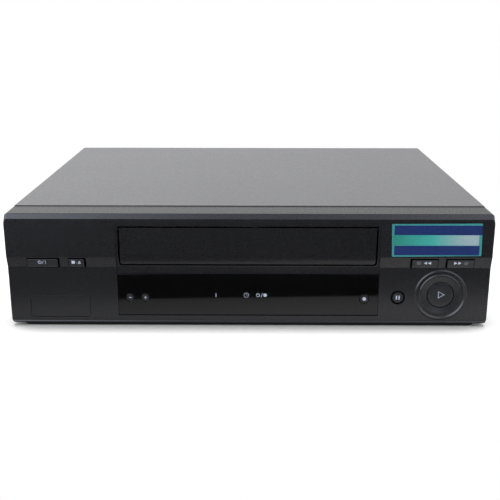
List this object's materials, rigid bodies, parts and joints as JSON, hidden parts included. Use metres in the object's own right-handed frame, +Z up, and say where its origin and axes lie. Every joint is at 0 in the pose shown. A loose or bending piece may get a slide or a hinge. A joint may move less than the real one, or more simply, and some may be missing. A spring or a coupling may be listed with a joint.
{
  "type": "video cassette recorder",
  "caption": "Front-loading VHS video cassette recorder with a hinged cassette flap, push buttons, display window, tape deck, rear sockets and a steel cover.",
  "frame": {"origin": "on the floor under the middle of the machine", "axes": "+X to the right seen from the front, the front faces -Y, +Z up"},
  "size_m": [0.4, 0.3328, 0.098],
  "materials": {
    "black_abs": "moulded black ABS with a fine satin texture",
    "painted_steel": "grey satin paint on sheet steel",
    "smoked_acrylic": "polished smoked acrylic, nearly black",
    "zinc_steel": "zinc-plated sheet steel",
    "turned_aluminium": "fine turned aluminium",
    "circuit_board": "green solder mask on laminate",
    "black_rubber": "moulded black rubber",
    "white_acetal": "moulded white acetal",
    "tube_glass": "dark glass of a fluorescent display tube",
    "printed_foil": "printed label film, teal and blue over silver",
    "black_steel": "black satin paint on steel"
  },
  "bodies": {
    "chassis": {"front_panel": "black_abs", "blanking_cap": "black_abs", "bottom_cover": "black_abs", "scart_socket_lower": "black_abs", "scart_socket_upper": "black_abs", "audio_jack_block": "black_abs", "mains_inlet": "black_abs", "mains_capacitor": "black_abs", "bottom_chassis": "zinc_steel", "deck_plate": "zinc_steel", "tuner_can": "zinc_steel", "control_head": "zinc_steel", "erase_head": "zinc_steel", "loading_motor": "zinc_steel", "cassette_bracket_left": "zinc_steel", "cassette_bracket_right": "zinc_steel", "rear_panel": "black_steel", "mains_transformer": "black_steel", "cover_screw_left_front": "black_steel", "cover_screw_left_rear": "black_steel", "cover_screw_right_front": "black_steel", "cover_screw_right_rear": "black_steel", "drum_base": "turned_aluminium", "lower_drum": "turned_aluminium", "heat_sink": "turned_aluminium", "capstan_bearing": "turned_aluminium", "foot_front_left": "black_rubber", "foot_front_right": "black_rubber", "foot_rear_left": "black_rubber", "foot_rear_right": "black_rubber", "main_board": "circuit_board", "power_board": "circuit_board", "key_board": "circuit_board", "top_cover": "painted_steel", "front_sticker": "printed_foil", "display_window": "smoked_acrylic", "display_tube": "tube_glass"},
    "door": {"cassette_door": "black_abs"},
    "video_head_drum": {"upper_drum": "turned_aluminium"},
    "capstan_rotor": {"capstan": "zinc_steel"},
    "supply_table": {"supply_reel": "white_acetal"},
    "take_up_table": {"take_up_reel": "white_acetal"},
    "pinch_lever": {"pinch_arm": "zinc_steel"},
    "pinch_wheel": {"pinch_roller": "black_rubber"},
    "tension_lever": {"tension_arm": "zinc_steel"},
    "cam_wheel": {"cam_gear": "white_acetal"},
    "motor_pinion": {"loading_pinion": "white_acetal"},
    "guide_left": {"tape_guide_left": "zinc_steel"},
    "guide_right": {"tape_guide_right": "zinc_steel"},
    "slider": {"carriage_slider": "zinc_steel"},
    "holder": {"cassette_holder": "zinc_steel"},
    "power_key": {"power_button": "black_abs"},
    "stop_eject_key": {"stop_eject_button": "black_abs"},
    "rewind_key": {"rewind_button": "black_abs"},
    "fast_forward_key": {"fast_forward_button": "black_abs"},
    "play_key": {"play_button": "black_abs"},
    "pause_key": {"pause_button": "black_abs"},
    "channel_down_key": {"channel_down_button": "black_abs"},
    "channel_up_key": {"channel_up_button": "black_abs"},
    "record_key": {"record_button": "black_abs"}
  },
  "joints": [
    {"name": "door_hinge", "type": "hinge", "parent": "chassis", "child": "door", "pos_m": [-0.0009, -0.1622, 0.08425], "axis": [1, 0, 0], "range_deg": [0, 90], "stiffness_Nm_per_rad": 0.004},
    {"name": "power_press", "type": "slide", "parent": "chassis", "child": "power_key", "axis": [0, 1, 0], "range_m": [0, 0.001], "stiffness_N_per_m": 400},
    {"name": "stop_eject_press", "type": "slide", "parent": "chassis", "child": "stop_eject_key", "axis": [0, 1, 0], "range_m": [0, 0.001], "stiffness_N_per_m": 400},
    {"name": "rewind_press", "type": "slide", "parent": "chassis", "child": "rewind_key", "axis": [0, 1, 0], "range_m": [0, 0.001], "stiffness_N_per_m": 400},
    {"name": "fast_forward_press", "type": "slide", "parent": "chassis", "child": "fast_forward_key", "axis": [0, 1, 0], "range_m": [0, 0.001], "stiffness_N_per_m": 400},
    {"name": "play_press", "type": "slide", "parent": "chassis", "child": "play_key", "axis": [0, 1, 0], "range_m": [0, 0.001], "stiffness_N_per_m": 400},
    {"name": "pause_press", "type": "slide", "parent": "chassis", "child": "pause_key", "axis": [0, 1, 0], "range_m": [0, 0.001], "stiffness_N_per_m": 400},
    {"name": "channel_down_press", "type": "slide", "parent": "chassis", "child": "channel_down_key", "axis": [0, 1, 0], "range_m": [0, 0.001], "stiffness_N_per_m": 400},
    {"name": "channel_up_press", "type": "slide", "parent": "chassis", "child": "channel_up_key", "axis": [0, 1, 0], "range_m": [0, 0.001], "stiffness_N_per_m": 400},
    {"name": "record_press", "type": "slide", "parent": "chassis", "child": "record_key", "axis": [0, 1, 0], "range_m": [0, 0.001], "stiffness_N_per_m": 400},
    {"name": "drum_spin", "type": "hinge", "parent": "chassis", "child": "video_head_drum", "pos_m": [0, 0.041, 0.0332], "axis": [0, 0.0976, 0.9952], "continuous": true},
    {"name": "capstan_spin", "type": "hinge", "parent": "chassis", "child": "capstan_rotor", "pos_m": [0.062, 0.02, 0], "axis": [0, 0, 1], "continuous": true},
    {"name": "supply_reel_spin", "type": "hinge", "parent": "chassis", "child": "supply_table", "pos_m": [-0.046, -0.052, 0.0255], "axis": [0, 0, 1], "continuous": true},
    {"name": "take_up_reel_spin", "type": "hinge", "parent": "chassis", "child": "take_up_table", "pos_m": [0.046, -0.052, 0.0255], "axis": [0, 0, 1], "continuous": true},
    {"name": "cam_turn", "type": "hinge", "parent": "chassis", "child": "cam_wheel", "pos_m": [-0.068, 0.07, 0.0255], "axis": [0, 0, 1], "range_deg": [0, 270]},
    {"name": "pinion_turn", "type": "hinge", "parent": "chassis", "child": "motor_pinion", "pos_m": [-0.098, 0.07, 0.0255], "axis": [0, 0, 1], "range_deg": [-1080, 0]},
    {"name": "guide_left_slide", "type": "slide", "parent": "chassis", "child": "guide_left", "axis": [0, 1, 0], "range_m": [0, 0.034]},
    {"name": "guide_right_slide", "type": "slide", "parent": "chassis", "child": "guide_right", "axis": [0, 1, 0], "range_m": [0, 0.034]},
    {"name": "pinch_arm_swing", "type": "hinge", "parent": "chassis", "child": "pinch_lever", "pos_m": [0.09, 0.036, 0.0255], "axis": [0, 0, 1], "range_deg": [0, 25]},
    {"name": "pinch_roller_spin", "type": "hinge", "parent": "pinch_lever", "child": "pinch_wheel", "pos_m": [0.06519, 0.03905, 0.0378], "axis": [0, 0, 1], "continuous": true},
    {"name": "tension_arm_swing", "type": "hinge", "parent": "chassis", "child": "tension_lever", "pos_m": [-0.086, 0.018, 0.0255], "axis": [0, 0, 1], "range_deg": [-8, 8], "stiffness_Nm_per_rad": 0.02},
    {"name": "carriage_slide", "type": "slide", "parent": "chassis", "child": "slider", "axis": [0, 1, 0], "range_m": [0, 0.06]},
    {"name": "holder_lift", "type": "slide", "parent": "slider", "child": "holder", "axis": [0, 0, -1], "range_m": [0, 0.0194]}
  ],
  "couplings": [
    {"joint": "pinion_turn", "follows": "cam_turn", "ratio": -4},
    {"joint": "guide_left_slide", "follows": "cam_turn", "m_per_rad": 0.007215},
    {"joint": "guide_right_slide", "follows": "cam_turn", "m_per_rad": 0.007215},
    {"joint": "pinch_arm_swing", "follows": "cam_turn", "ratio": 0.092593}
  ]
}
